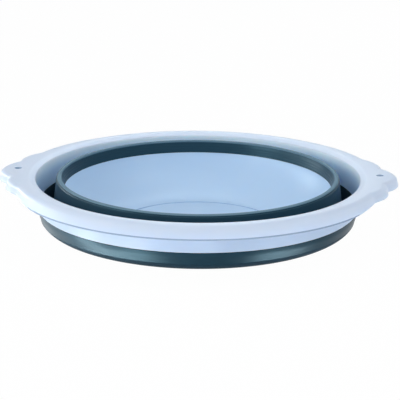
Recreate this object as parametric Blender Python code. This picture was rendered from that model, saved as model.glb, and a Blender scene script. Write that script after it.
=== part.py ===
"""Round collapsible wash basin, modelled pressed flat.

A stiff rim ring with two lobed ears carries a soft wall. Pressed flat, the wall
hangs down as the outer band, folds under at a bead, climbs back as the fold band
and drops over a crest into the inner band, which holds a stiff bowl-shaped pan.
Pushing the pan down turns the fold band inside out and makes the basin deep.

Frame: metres, +Z up, the basin's axis on Z, the floor at z = 0, the ears on +X and -X.
"""

import math

import bpy
import bmesh
from mathutils import Vector

# Overall fits and fineness
JOIN_GAP = 0.0003
WELD_SHARE = 0.1
ROUND_STEPS = 64
RIM_STEPS = 96
CORNER_PIECES = 3
SHOULDER_PIECES = 4
BEAD_PIECES = 6
SHARP_DEGREES = 35.0

# Heights, stacked up from the floor
FOOT_HEIGHT = 0.0012
PAN_WALL = 0.0024
DISC_RECESS = 0.0005
BOWL_RISE = 0.0387
INNER_BAND_HEIGHT = 0.0112
CREST_BELOW_LIP = 0.0006

# Rim ring
LIP_RADIUS = 0.1494
LIP_ROUND = 0.0016
RIM_WALL = 0.0028
RIM_WALL_LEAN = 0.0034
OUTER_SEAM_DEPTH = 0.0268
INNER_SEAM_DEPTH = 0.0235
FLANGE_CROWN = 0.0021
FLANGE_CROWN_RUN = 0.0070
FLANGE_WALL = 0.0024
FLANGE_FLAT = 0.0036
SKIRT_DEPTH = 0.0104
SKIRT_RUN = 0.0070
SKIRT_WALL = 0.0024
SKIRT_SHOULDER = 0.0085

# Ears
LOBE_RADIUS = 0.0360
MIDDLE_LOBE_REACH = 0.0147
SIDE_LOBE_REACH = 0.0065
SIDE_LOBE_DEGREES = 13.0
LOBE_FILLET = 0.0024
EAR_SKIRT_RUN = 0.0050
EAR_START_DEGREES = 62.0
EAR_END_DEGREES = 24.0
EAR_CROWDING_SHARE = 0.25
HANG_HOLE_RADIUS = 0.0035
HANG_HOLE_SETBACK = 0.0180
HANG_HOLE_STEPS = 20
CUT_OVERRUN = 0.0010

# Bonded laps between the stiff and the soft pieces
TONGUE_THICKNESS = 0.0008
TONGUE_LENGTH = 0.0040

# Soft wall
BAND_WALL = 0.0020
OUTER_BAND_HEIGHT = 0.0172
OUTER_BAND_LEAN = 0.0100
FACE_HEIGHT = 0.0112
FACE_LEAN = 0.0024
FACE_STEP = 0.0004
FOLD_BEAD_RADIUS = 0.0017
BEAD_SHOULDER_DEGREES = 40.0
INNER_ROUND_END_DEGREES = 30.0
FOLD_BAND_WALL = 0.0016
FOLD_BAND_LEAN = 0.0057
FOLD_BAND_TOP_DROP = 0.0008
CREST_RADIUS = 0.0014
INNER_BAND_LEAN = 0.0025

# Pan
DISC_RADIUS = 0.0772
DISC_EDGE_WIDTH = 0.0004
FOOT_INSET = 0.0012
FOOT_WIDTH = 0.0045
BOWL_POINTS = 7
BOWL_TOP_PULL_SHARE = 0.50
BOWL_BOTTOM_PULL_SHARE = 0.42

# Heights worked out from the stack
DISC_TOP = FOOT_HEIGHT + PAN_WALL
BOWL_FOOT = DISC_TOP + DISC_RECESS
PAN_TOP = BOWL_FOOT + BOWL_RISE
CREST_TOP = PAN_TOP + INNER_BAND_HEIGHT
LIP_HEIGHT = CREST_TOP + CREST_BELOW_LIP
FLANGE_TOP = LIP_HEIGHT + FLANGE_CROWN
OUTER_SEAM = LIP_HEIGHT - OUTER_SEAM_DEPTH
INNER_SEAM = LIP_HEIGHT - INNER_SEAM_DEPTH
BEAD_CENTRE_HEIGHT = OUTER_SEAM - OUTER_BAND_HEIGHT + FOLD_BEAD_RADIUS

# Flange and ears worked out from the lip outwards
SKIRT_SLOPE = math.atan2(SKIRT_DEPTH, SKIRT_RUN)
SHOULDER_LENGTH = SKIRT_SHOULDER * math.tan(SKIRT_SLOPE / 2)
FLAT_START = LIP_RADIUS + FLANGE_CROWN_RUN
FLAT_END = FLAT_START + FLANGE_FLAT
SKIRT_RADIUS = FLAT_END + SHOULDER_LENGTH + SKIRT_RUN
SKIRT_EDGE_HEIGHT = FLANGE_TOP - SKIRT_DEPTH
MIDDLE_LOBE_TIP = SKIRT_RADIUS + MIDDLE_LOBE_REACH
SIDE_LOBE_TIP = SKIRT_RADIUS + SIDE_LOBE_REACH
HANG_HOLE_OFFSET = MIDDLE_LOBE_TIP - HANG_HOLE_SETBACK

# Radii worked out from the lip inwards
WALL_INNER_RADIUS = LIP_RADIUS - RIM_WALL_LEAN
WALL_OUTER_RADIUS = WALL_INNER_RADIUS + RIM_WALL
BEAD_CENTRE_RADIUS = WALL_OUTER_RADIUS - OUTER_BAND_LEAN
FOLD_FOOT_RADIUS = BEAD_CENTRE_RADIUS - FOLD_BEAD_RADIUS - JOIN_GAP
FOLD_HEAD_RADIUS = FOLD_FOOT_RADIUS - FOLD_BAND_LEAN
CREST_CENTRE_RADIUS = FOLD_HEAD_RADIUS - FOLD_BAND_WALL - JOIN_GAP - CREST_RADIUS
PAN_TOP_RADIUS = CREST_CENTRE_RADIUS - CREST_RADIUS - INNER_BAND_LEAN
PAN_LAP_WIDTH = 2 * CREST_RADIUS
RIM_SLOPE = RIM_WALL_LEAN / (OUTER_SEAM_DEPTH - LIP_ROUND)
INNER_BAND_SLOPE = INNER_BAND_LEAN / (INNER_BAND_HEIGHT - CREST_RADIUS)
FOOT_RADIUS = DISC_RADIUS - FOOT_INSET


def clear_scene():
    """Empty the file of objects."""
    for thing in list(bpy.data.objects):
        bpy.data.objects.remove(thing, do_unlink=True)


def plastic(name, colour, roughness):
    """A Principled material without metal."""
    material = bpy.data.materials.new(name)
    material.use_nodes = True
    shader = material.node_tree.nodes["Principled BSDF"]
    shader.inputs["Base Color"].default_value = (*colour, 1.0)
    shader.inputs["Roughness"].default_value = roughness
    shader.inputs["Metallic"].default_value = 0.0
    material.diffuse_color = (*colour, 1.0)
    return material


def arc(centre, radius, start_degrees, end_degrees, pieces):
    """Points on an arc in the section plane, both ends included."""
    points = []
    for index in range(pieces + 1):
        turn = math.radians(start_degrees + (end_degrees - start_degrees) * index / pieces)
        points.append((centre[0] + radius * math.cos(turn), centre[1] + radius * math.sin(turn)))
    return points


def turned(name, outline, steps, material):
    """Spin a section (radius, height) about Z into one closed solid."""
    mesh = bpy.data.meshes.new(name)
    shape = bmesh.new()
    corners = [shape.verts.new((radius, 0.0, height)) for radius, height in outline]
    closes_on_axis = outline[0][0] == 0.0 and outline[-1][0] == 0.0
    edges = [shape.edges.new(pair) for pair in zip(corners, corners[1:])]
    if not closes_on_axis:
        edges.append(shape.edges.new((corners[-1], corners[0])))
    bmesh.ops.spin(
        shape, geom=corners + edges, cent=(0.0, 0.0, 0.0), axis=(0.0, 0.0, 1.0),
        angle=2 * math.pi, steps=steps, use_merge=True,
    )
    bmesh.ops.remove_doubles(shape, verts=shape.verts, dist=JOIN_GAP * WELD_SHARE)
    bmesh.ops.recalc_face_normals(shape, faces=shape.faces)
    shape.to_mesh(mesh)
    shape.free()
    piece = bpy.data.objects.new(name, mesh)
    bpy.context.scene.collection.objects.link(piece)
    mesh.materials.append(material)
    mesh.shade_smooth()
    mesh.set_sharp_from_angle(angle=math.radians(SHARP_DEGREES))
    return piece


def lobe_reach(angle, centre_angle, tip_radius):
    """Distance from the axis to a round lobe's edge, or zero where the ray misses it."""
    centre_radius = tip_radius - LOBE_RADIUS
    turn = angle - centre_angle
    across = centre_radius * math.sin(turn)
    if abs(across) >= LOBE_RADIUS or math.cos(turn) <= 0.0:
        return 0.0
    return centre_radius * math.cos(turn) + math.sqrt(LOBE_RADIUS ** 2 - across ** 2)


def soft_max(first, second):
    """The larger of two distances, with a fillet where they cross."""
    overlap = max(LOBE_FILLET - abs(first - second), 0.0) / LOBE_FILLET
    return max(first, second) + overlap ** 2 * LOBE_FILLET / 4


def ear_turn(angle):
    """Angle from the nearer ear's centre line, from 0 to a quarter turn."""
    return abs(math.atan(math.tan(angle))) if abs(math.cos(angle)) > JOIN_GAP else math.pi / 2


def skirt_reach(angle):
    """How far the skirt's edge stands out past its plain circle at an angle."""
    turn = ear_turn(angle)
    side = lobe_reach(turn, math.radians(SIDE_LOBE_DEGREES), SIDE_LOBE_TIP)
    middle = lobe_reach(turn, 0.0, MIDDLE_LOBE_TIP)
    return soft_max(soft_max(SKIRT_RADIUS, side), middle) - SKIRT_RADIUS


def ear_share(angle):
    """0 along the plain rim, 1 at an ear, with a smooth step between."""
    turn = math.degrees(ear_turn(angle))
    along = (EAR_START_DEGREES - turn) / (EAR_START_DEGREES - EAR_END_DEGREES)
    along = min(max(along, 0.0), 1.0)
    return along * along * (3 - 2 * along)


def draw_out_ears(shape):
    """Crowd the ring's steps towards the ears and pull the flange out into lobes."""
    for corner in shape.verts:
        radius = math.hypot(corner.co.x, corner.co.y)
        angle = math.atan2(corner.co.y, corner.co.x)
        angle -= EAR_CROWDING_SHARE * math.sin(2 * angle)
        out = min(max((radius - FLAT_START) / FLANGE_FLAT, 0.0), 1.0)
        up = (corner.co.z - SKIRT_EDGE_HEIGHT) / SKIRT_DEPTH
        steepen = (SKIRT_RUN - EAR_SKIRT_RUN) * ear_share(angle) * min(max(up, 0.0), 1.0)
        radius += out * (skirt_reach(angle) + steepen)
        corner.co.x = radius * math.cos(angle)
        corner.co.y = radius * math.sin(angle)


def rim_section():
    """Outline of the ring: bonded tongue, wall, flange and turned-down skirt."""
    tongue_middle = WALL_INNER_RADIUS + RIM_WALL / 2
    tongue_inner = tongue_middle - TONGUE_THICKNESS / 2
    tongue_outer = tongue_middle + TONGUE_THICKNESS / 2
    tongue_drift = RIM_SLOPE * TONGUE_LENGTH
    inner_seam_drift = RIM_SLOPE * (INNER_SEAM - OUTER_SEAM)
    under_flange = FLANGE_TOP - FLANGE_WALL
    wall_at_flange = WALL_OUTER_RADIUS + RIM_SLOPE * (under_flange - OUTER_SEAM)
    shoulder_centre = (FLAT_END, FLANGE_TOP - SKIRT_SHOULDER)
    square_to_skirt = 90.0 - math.degrees(SKIRT_SLOPE)
    shoulder = arc(shoulder_centre, SKIRT_SHOULDER, square_to_skirt, 90.0, SHOULDER_PIECES)
    under_radius = SKIRT_SHOULDER - FLANGE_WALL
    under_shoulder = arc(shoulder_centre, under_radius, 90.0, square_to_skirt, CORNER_PIECES)
    across_skirt = SKIRT_WALL / math.sin(SKIRT_SLOPE)
    lip_centre = (LIP_RADIUS + LIP_ROUND, LIP_HEIGHT - LIP_ROUND)
    return [
        (tongue_inner - tongue_drift, OUTER_SEAM - TONGUE_LENGTH),
        (tongue_outer - tongue_drift, OUTER_SEAM - TONGUE_LENGTH),
        (tongue_outer, OUTER_SEAM),
        (WALL_OUTER_RADIUS, OUTER_SEAM),
        (wall_at_flange, under_flange),
        *under_shoulder,
        (SKIRT_RADIUS - across_skirt, SKIRT_EDGE_HEIGHT),
        (SKIRT_RADIUS, SKIRT_EDGE_HEIGHT),
        *shoulder,
        (FLAT_START, FLANGE_TOP),
        *arc(lip_centre, LIP_ROUND, 90.0, 180.0, CORNER_PIECES),
        (WALL_INNER_RADIUS + inner_seam_drift, INNER_SEAM),
        (tongue_inner + inner_seam_drift, INNER_SEAM),
    ]


def make_rim_ring(material):
    """Stiff ring with the flange, both ears and their hanging holes."""
    ring = turned("rim_ring", rim_section(), RIM_STEPS, material)
    shape = bmesh.new()
    shape.from_mesh(ring.data)
    draw_out_ears(shape)
    bmesh.ops.recalc_face_normals(shape, faces=shape.faces)
    shape.to_mesh(ring.data)
    shape.free()
    for side, label in ((1.0, "right"), (-1.0, "left")):
        cutter = hole_cutter("hang_hole_cutter_" + label, Vector((side * HANG_HOLE_OFFSET, 0.0, FLANGE_TOP)))
        cut = ring.modifiers.new("hang_hole_" + label, "BOOLEAN")
        cut.operation = "DIFFERENCE"
        cut.object = cutter
    return ring


def hole_cutter(name, centre):
    """Upright round cutter for one hanging hole."""
    mesh = bpy.data.meshes.new(name)
    shape = bmesh.new()
    bmesh.ops.create_cone(
        shape, cap_ends=True, segments=HANG_HOLE_STEPS, radius1=HANG_HOLE_RADIUS,
        radius2=HANG_HOLE_RADIUS, depth=2 * (FLANGE_WALL + CUT_OVERRUN),
    )
    shape.to_mesh(mesh)
    shape.free()
    cutter = bpy.data.objects.new(name, mesh)
    cutter.location = centre
    cutter.hide_render = True
    cutter.display_type = "WIRE"
    bpy.context.scene.collection.objects.link(cutter)
    return cutter


def quarter_round(centre, across, down, start_degrees, end_degrees):
    """Points on an elliptical quarter round, angles counted up from straight below."""
    points = []
    for index in range(SHOULDER_PIECES + 1):
        turn = math.radians(start_degrees + (end_degrees - start_degrees) * index / SHOULDER_PIECES)
        points.append((centre[0] + across * math.sin(turn), centre[1] - down * math.cos(turn)))
    return points


def make_outer_band(material):
    """Soft band bonded under the ring, rounded in below to the fold bead."""
    groove_middle = WALL_INNER_RADIUS + RIM_WALL / 2
    groove_half = TONGUE_THICKNESS / 2 + JOIN_GAP
    groove_floor = OUTER_SEAM - TONGUE_LENGTH - JOIN_GAP
    groove_drift = RIM_SLOPE * (OUTER_SEAM - groove_floor)
    inner_seam_drift = RIM_SLOPE * (INNER_SEAM - OUTER_SEAM)
    bead_centre = (BEAD_CENTRE_RADIUS, BEAD_CENTRE_HEIGHT)
    face_foot = (WALL_OUTER_RADIUS - FACE_LEAN, OUTER_SEAM - FACE_HEIGHT)
    round_across = face_foot[0] - BEAD_CENTRE_RADIUS
    round_down = OUTER_BAND_HEIGHT - FACE_HEIGHT
    round_centre = (BEAD_CENTRE_RADIUS, face_foot[1])
    outline = [
        *arc(bead_centre, FOLD_BEAD_RADIUS, BEAD_SHOULDER_DEGREES, 270.0, BEAD_PIECES),
        *quarter_round(round_centre, round_across, round_down, 0.0, 90.0)[1:],
        (face_foot[0] - FACE_STEP, face_foot[1] + FACE_STEP),
        (WALL_OUTER_RADIUS - groove_drift, groove_floor),
        (WALL_OUTER_RADIUS, OUTER_SEAM - JOIN_GAP),
        (groove_middle + groove_half, OUTER_SEAM - JOIN_GAP),
        (groove_middle + groove_half - groove_drift, groove_floor),
        (groove_middle - groove_half - groove_drift, groove_floor),
        (groove_middle - groove_half + inner_seam_drift, INNER_SEAM - JOIN_GAP),
        (WALL_INNER_RADIUS + inner_seam_drift, INNER_SEAM - JOIN_GAP),
        (WALL_INNER_RADIUS - groove_drift, groove_floor),
        *quarter_round(
            round_centre, round_across - BAND_WALL, round_down - BAND_WALL, 90.0, INNER_ROUND_END_DEGREES,
        ),
    ]
    return turned("outer_band", outline, ROUND_STEPS, material)


def make_fold_band(material):
    """Soft cone between the two beads, the part that turns inside out."""
    foot = BEAD_CENTRE_HEIGHT
    head = CREST_TOP - CREST_RADIUS - FOLD_BAND_TOP_DROP
    half = FOLD_BAND_WALL / 2
    outline = [
        *arc((FOLD_FOOT_RADIUS - half, foot), half, 180.0, 360.0, CORNER_PIECES),
        *arc((FOLD_HEAD_RADIUS - half, head), half, 0.0, 180.0, CORNER_PIECES),
    ]
    return turned("fold_band", outline, ROUND_STEPS, material)


def make_inner_band(material):
    """Soft band from the crest bead down to the pan's edge."""
    crest_centre = (CREST_CENTRE_RADIUS, CREST_TOP - CREST_RADIUS)
    groove_middle = PAN_TOP_RADIUS + PAN_LAP_WIDTH / 2
    groove_half = TONGUE_THICKNESS / 2 + JOIN_GAP
    foot = PAN_TOP + JOIN_GAP
    groove_roof = PAN_TOP + TONGUE_LENGTH + JOIN_GAP
    groove_drift = INNER_BAND_SLOPE * (groove_roof - PAN_TOP)
    outline = [
        (PAN_TOP_RADIUS, foot),
        (groove_middle - groove_half, foot),
        (groove_middle - groove_half + groove_drift, groove_roof),
        (groove_middle + groove_half + groove_drift, groove_roof),
        (groove_middle + groove_half, foot),
        (PAN_TOP_RADIUS + PAN_LAP_WIDTH, foot),
        *arc(crest_centre, CREST_RADIUS, 0.0, 180.0, BEAD_PIECES),
    ]
    return turned("inner_band", outline, ROUND_STEPS, material)


def bowl_curve():
    """Inner face of the bowl from the disc's edge up to the pan's top edge."""
    low = Vector((DISC_RADIUS, BOWL_FOOT))
    high = Vector((PAN_TOP_RADIUS, PAN_TOP))
    span = high - low
    low_pull = low + Vector((span.x * BOWL_BOTTOM_PULL_SHARE, 0.0))
    drop = span.y * BOWL_TOP_PULL_SHARE
    high_pull = high - Vector((drop * INNER_BAND_SLOPE, drop))
    points = []
    for index in range(BOWL_POINTS + 1):
        t = index / BOWL_POINTS
        s = 1 - t
        points.append(low * s ** 3 + low_pull * 3 * s * s * t + high_pull * 3 * s * t * t + high * t ** 3)
    return points


def offset_outwards(points, distance):
    """Shift a section curve to its outer side by a wall thickness."""
    shifted = []
    for index, point in enumerate(points):
        before = points[max(index - 1, 0)]
        after = points[min(index + 1, len(points) - 1)]
        along = (after - before).normalized()
        shifted.append(point + Vector((along.y, -along.x)) * distance)
    return shifted


def make_base_pan(material):
    """Stiff bowl-shaped pan with its flat disc, foot ring and bonded tongue."""
    inner = bowl_curve()
    outer = offset_outwards(inner, PAN_WALL)
    tongue_middle = PAN_TOP_RADIUS + PAN_LAP_WIDTH / 2
    tongue_inner = tongue_middle - TONGUE_THICKNESS / 2
    tongue_outer = tongue_middle + TONGUE_THICKNESS / 2
    tongue_drift = INNER_BAND_SLOPE * TONGUE_LENGTH
    outline = [
        (0.0, FOOT_HEIGHT),
        (FOOT_RADIUS - FOOT_WIDTH, FOOT_HEIGHT),
        (FOOT_RADIUS - FOOT_WIDTH, 0.0),
        (FOOT_RADIUS, 0.0),
        (FOOT_RADIUS, FOOT_HEIGHT),
        *[(point.x, point.y) for point in outer[1:-1]],
        (PAN_TOP_RADIUS + PAN_LAP_WIDTH, PAN_TOP),
        (tongue_outer, PAN_TOP),
        (tongue_outer + tongue_drift, PAN_TOP + TONGUE_LENGTH),
        (tongue_inner + tongue_drift, PAN_TOP + TONGUE_LENGTH),
        (tongue_inner, PAN_TOP),
        *[(point.x, point.y) for point in reversed(inner)],
        (DISC_RADIUS - DISC_EDGE_WIDTH, DISC_TOP),
        (0.0, DISC_TOP),
    ]
    return turned("base_pan", outline, ROUND_STEPS, material)


def main():
    """Build the five pieces, pressed flat."""
    clear_scene()
    rim_plastic = plastic("rim_plastic", (0.60, 0.72, 0.88), 0.35)
    pan_plastic = plastic("pan_plastic", (0.50, 0.67, 0.87), 0.32)
    soft_wall = plastic("soft_wall", (0.030, 0.064, 0.090), 0.45)
    make_rim_ring(rim_plastic)
    make_outer_band(soft_wall)
    make_fold_band(soft_wall)
    make_inner_band(soft_wall)
    make_base_pan(pan_plastic)


main()
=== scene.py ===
"""The looks of a round collapsible wash basin, standing pressed flat.

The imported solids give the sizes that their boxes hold, and each sub-assembly below turns
its own finer section from them: the stiff rim ring with its two lobed ears, the soft wall
in three bands, and the stiff bowl-shaped pan. Everything is in metres, with +Z up, the
basin's axis on Z and the floor at zero.
"""

import logging
import math
from dataclasses import dataclass, field
from enum import Enum, IntEnum
from functools import cache
from typing import ClassVar

import bmesh
import bpy
from mathutils import Matrix, Vector
from mathutils.geometry import interpolate_bezier


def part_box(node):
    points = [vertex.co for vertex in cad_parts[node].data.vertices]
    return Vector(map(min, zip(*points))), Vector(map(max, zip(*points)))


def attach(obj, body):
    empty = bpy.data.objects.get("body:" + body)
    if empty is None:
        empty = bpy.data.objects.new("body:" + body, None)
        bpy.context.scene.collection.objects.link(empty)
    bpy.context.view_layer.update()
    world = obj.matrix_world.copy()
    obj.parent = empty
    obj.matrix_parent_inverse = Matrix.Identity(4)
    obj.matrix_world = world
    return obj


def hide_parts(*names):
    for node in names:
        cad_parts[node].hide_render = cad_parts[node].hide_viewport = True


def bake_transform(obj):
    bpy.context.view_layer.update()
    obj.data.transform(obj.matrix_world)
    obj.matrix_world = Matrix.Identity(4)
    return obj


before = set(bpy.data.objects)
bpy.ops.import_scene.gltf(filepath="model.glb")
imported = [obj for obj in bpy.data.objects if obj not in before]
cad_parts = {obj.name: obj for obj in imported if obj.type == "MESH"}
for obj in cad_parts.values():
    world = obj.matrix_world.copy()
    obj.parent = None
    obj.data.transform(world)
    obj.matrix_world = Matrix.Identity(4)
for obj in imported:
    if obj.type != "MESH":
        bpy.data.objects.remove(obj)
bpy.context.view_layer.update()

log = logging.getLogger("wash_basin")

Colour = tuple[float, float, float]
# What a shader node's inputs get, by the name or place of each: a plain value or a socket to join
Given = dict[str | int, object]

MILLIMETRE = 0.001
WHITE = (1.0, 1.0, 1.0)
WARM_WHITE = (1.0, 0.92, 0.85)
COOL_WHITE = (0.82, 0.94, 1.0)
SHARP_ANGLE = math.radians(35.0)
QUARTERS = 4
QUARTER_TURN = math.pi / 2
WELD = 0.01 * MILLIMETRE


class Body(Enum):
    """The two bodies that the push-down slide joins."""

    RIM = "rim"
    BASE = "base"


class Slot(Enum):
    """The record's material slots."""

    RIM_PLASTIC = "rim_plastic"
    PAN_PLASTIC = "pan_plastic"
    SOFT_WALL = "soft_wall"


class Use(Enum):
    """What a studio lamp is put up for."""

    BODY_LIGHT = "body light"
    HIGHLIGHT = "highlight"


class Arc(IntEnum):
    """How many straight pieces the rounding of a corner is made of."""

    TINY = 2
    SMALL = 3
    EDGE = 4
    STRIP = 5
    PLAIN = 6
    WIDE = 8
    LIP = 10
    UNDERSIDE = 12
    SHOULDER = 16


@cache
def node_box(node: str) -> tuple[Vector, Vector]:
    """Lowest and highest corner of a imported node."""
    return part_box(node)


def top_of(node: str) -> float:
    """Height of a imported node's highest point."""
    return node_box(node)[1].z


def foot_of(node: str) -> float:
    """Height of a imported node's lowest point."""
    return node_box(node)[0].z


def reach_across(node: str) -> float:
    """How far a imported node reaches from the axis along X, where the ears are."""
    return node_box(node)[1].x


def reach_away(node: str) -> float:
    """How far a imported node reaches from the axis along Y, clear of the ears."""
    return node_box(node)[1].y


def held(value: float) -> float:
    """Hold a value between 0 and 1."""
    return min(max(value, 0.0), 1.0)


@dataclass(frozen=True)
class Corner:
    """One corner of a section.

    Args:
        radius: Distance from the basin's axis.
        height: Height over the floor.
        rounding: Radius that the corner is rounded to, or zero for a plain point.
        pieces: Straight pieces that the rounding is made of.
    """

    radius: float
    height: float
    rounding: float = 0.0
    pieces: Arc = Arc.PLAIN


@dataclass(frozen=True)
class Layout:
    """Heights, radii and laps that neighbouring pieces share."""

    join_gap: float = 0.3 * MILLIMETRE
    seam_gap: float = 0.05 * MILLIMETRE
    seam_edge: float = 0.22 * MILLIMETRE
    lap_length: float = 4.0 * MILLIMETRE
    lap_thickness: float = 0.8 * MILLIMETRE
    lip_drop: float = 2.1 * MILLIMETRE
    rim_wall: float = 2.8 * MILLIMETRE
    rim_wall_lean: float = 3.4 * MILLIMETRE
    lip_round: float = 1.6 * MILLIMETRE
    crest_radius: float = 1.4 * MILLIMETRE
    crest_lift: float = 1.1 * MILLIMETRE
    inner_band_lean: float = 2.5 * MILLIMETRE
    fold_wall: float = 1.6 * MILLIMETRE
    fold_lean: float = 5.7 * MILLIMETRE
    flange_top: float = field(default_factory=lambda: top_of("rim_ring"))
    wall_outer: float = field(default_factory=lambda: reach_across("outer_band"))
    fold_foot: float = field(default_factory=lambda: reach_across("fold_band"))
    pan_reach: float = field(default_factory=lambda: reach_across("base_pan"))

    @property
    def crest_top(self) -> float:
        """Height of the crest's highest ring, a little above the plain solid's."""
        return top_of("inner_band") + self.crest_lift

    @property
    def fold_start(self) -> float:
        """Height of the fold wall's foot, level with the fold bead's centre."""
        return foot_of("fold_band") + self.fold_wall / 2

    @property
    def lip_height(self) -> float:
        """Height of the rolled lip."""
        return self.flange_top - self.lip_drop

    @property
    def outer_seam(self) -> float:
        """Height where the ring's outer face meets the soft wall."""
        return foot_of("rim_ring") + self.lap_length

    @property
    def inner_seam(self) -> float:
        """Height where the ring's inner face meets the soft wall."""
        return top_of("outer_band") + self.join_gap

    @property
    def wall_inner(self) -> float:
        """Radius of the ring's inner face, carried down to the outer seam."""
        return self.wall_outer - self.rim_wall

    @property
    def rim_slope(self) -> float:
        """Outward drift of the ring's wall for each metre of height."""
        return self.rim_wall_lean / (self.lip_height - self.outer_seam - self.lip_round)

    @property
    def pan_top(self) -> float:
        """Height of the pan's upper edge."""
        return top_of("base_pan") - self.lap_length

    @property
    def pan_edge(self) -> float:
        """Radius of the pan's inner face at its upper edge."""
        return self.pan_reach - 2 * self.crest_radius

    @property
    def inner_slope(self) -> float:
        """Outward drift of the inner band for each metre of height."""
        return self.inner_band_lean / (self.crest_top - self.pan_top - self.crest_radius)

    def seam(self, radius: float, height: float) -> Corner:
        """Corner with the small rounding that edges along a seam have."""
        return Corner(radius, height, self.seam_edge, Arc.SMALL)


class Section:
    """An outline in the plane of radius and height, rounded and then spun about the axis."""

    def __init__(self, corners: list[Corner], on_axis: bool = False) -> None:
        """Lay the corners out and join them.

        Args:
            corners: The outline's corners in order.
            on_axis: True where the outline starts and ends on the axis and needs no closing edge.
        """
        self.shape = bmesh.new()
        points = [self.shape.verts.new((corner.radius, 0.0, corner.height)) for corner in corners]
        for pair in zip(points, points[1:]):
            self.shape.edges.new(pair)
        if not on_axis:
            self.shape.edges.new((points[-1], points[0]))
        for corner, point in zip(corners, points):
            if corner.rounding:
                self.round_off(point, corner)

    def round_off(self, point: bmesh.types.BMVert, corner: Corner) -> None:
        """Replace one point by an arc.

        Args:
            point: The outline's point at the corner.
            corner: The rounding that it gets.
        """
        before, after = (edge.other_vert(point).co - point.co for edge in point.link_edges)
        tangent = corner.rounding / math.tan(before.angle(after) / 2)
        bmesh.ops.bevel(
            self.shape, geom=[point], offset=tangent, offset_type="OFFSET", affect="VERTICES",
            segments=corner.pieces, profile=0.5, material=-1,
        )

    def divide(self, spacing: float) -> None:
        """Cut long straight runs into even steps.

        Args:
            spacing: Longest step that is left.
        """
        for edge in list(self.shape.edges):
            cuts = math.ceil(edge.calc_length() / spacing) - 1
            if cuts > 0:
                bmesh.ops.subdivide_edges(self.shape, edges=[edge], cuts=cuts)

    def spin(self, steps: int) -> bmesh.types.BMesh:
        """Turn the outline into a closed ring or bowl, a quarter at a time.

        Args:
            steps: Steps round the full turn, a multiple of four.

        Returns:
            The closed shape, with its faces pointing out.
        """
        shape = self.shape
        axis = (0.0, 0.0, 1.0)
        middle = (0.0, 0.0, 0.0)
        outline = list(shape.verts) + list(shape.edges)
        bmesh.ops.spin(
            shape, geom=outline, cent=middle, axis=axis, angle=QUARTER_TURN, steps=steps // QUARTERS,
        )
        quarter = list(shape.verts) + list(shape.edges) + list(shape.faces)
        for index in range(1, QUARTERS):
            copy = bmesh.ops.duplicate(shape, geom=quarter)["geom"]
            points = [item for item in copy if isinstance(item, bmesh.types.BMVert)]
            turn = Matrix.Rotation(index * QUARTER_TURN, 3, "Z")
            bmesh.ops.rotate(shape, verts=points, cent=middle, matrix=turn)
        bmesh.ops.remove_doubles(shape, verts=shape.verts, dist=WELD)
        bmesh.ops.recalc_face_normals(shape, faces=shape.faces)
        return shape


def finish_mesh(name: str, shape: bmesh.types.BMesh) -> bpy.types.Object:
    """Make a shaded object from a shape and free the shape.

    Args:
        name: The piece's name.
        shape: The shape, in place.

    Returns:
        The object, linked to the scene.
    """
    mesh = bpy.data.meshes.new(name)
    shape.to_mesh(mesh)
    shape.free()
    piece = bpy.data.objects.new(name, mesh)
    bpy.context.scene.collection.objects.link(piece)
    soften(piece)
    return piece


def soften(piece: bpy.types.Object) -> None:
    """Shade a piece smooth, keep its crisp edges and weigh its normals by area.

    Args:
        piece: The piece to shade.
    """
    piece.data.shade_smooth()
    piece.data.set_sharp_from_angle(angle=SHARP_ANGLE)
    even = piece.modifiers.new("even_shading", "WEIGHTED_NORMAL")
    even.keep_sharp = True


def hand_over(piece: bpy.types.Object, body: Body, node: str) -> None:
    """Put a piece on the body that carries it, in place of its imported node.

    Args:
        piece: The finished piece.
        body: The body that it rides on.
        node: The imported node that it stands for.
    """
    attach(piece, body.value)
    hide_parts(node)
    log.info("%s rides %s, %d faces", piece.name, body.value, len(piece.data.polygons))


def outwardness(face: bpy.types.MeshPolygon) -> float:
    """Tell how much a face looks away from the basin's axis, below zero where it looks in."""
    return face.normal.x * face.center.x + face.normal.y * face.center.y


def opaque(colour: Colour) -> tuple[float, float, float, float]:
    """Add full cover to a colour."""
    return (*colour, 1.0)


class NodeSheet:
    """Short ways to place and join shader nodes in one tree."""

    def __init__(self, tree: bpy.types.NodeTree) -> None:
        """Keep the tree that nodes go into."""
        self.tree = tree

    def feed(self, node: bpy.types.Node, given: Given) -> None:
        """Fill a node's inputs.

        Args:
            node: The node.
            given: What its inputs get.
        """
        for key, value in given.items():
            if isinstance(value, bpy.types.NodeSocket):
                self.tree.links.new(value, node.inputs[key])
            else:
                node.inputs[key].default_value = value

    def add(self, kind: str, given: Given | None = None, **settings: object) -> bpy.types.Node:
        """Place a node.

        Args:
            kind: The node's type.
            given: What its inputs get.
            settings: Properties to set on it.

        Returns:
            The new node.
        """
        node = self.tree.nodes.new(kind)
        for name, value in settings.items():
            setattr(node, name, value)
        self.feed(node, given or {})
        return node

    def sum(self, operation: str, *terms: bpy.types.NodeSocket | float) -> bpy.types.NodeSocket:
        """Place a Math node.

        Args:
            operation: What it works out.
            terms: Sockets or numbers, in the node's order.

        Returns:
            The result's socket.
        """
        return self.add("ShaderNodeMath", dict(enumerate(terms)), operation=operation).outputs[0]


VECTOR_SOCKET = "NodeSocketVector"
COLOUR_SOCKET = "NodeSocketColor"
FLOAT_SOCKET = "NodeSocketFloat"


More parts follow.
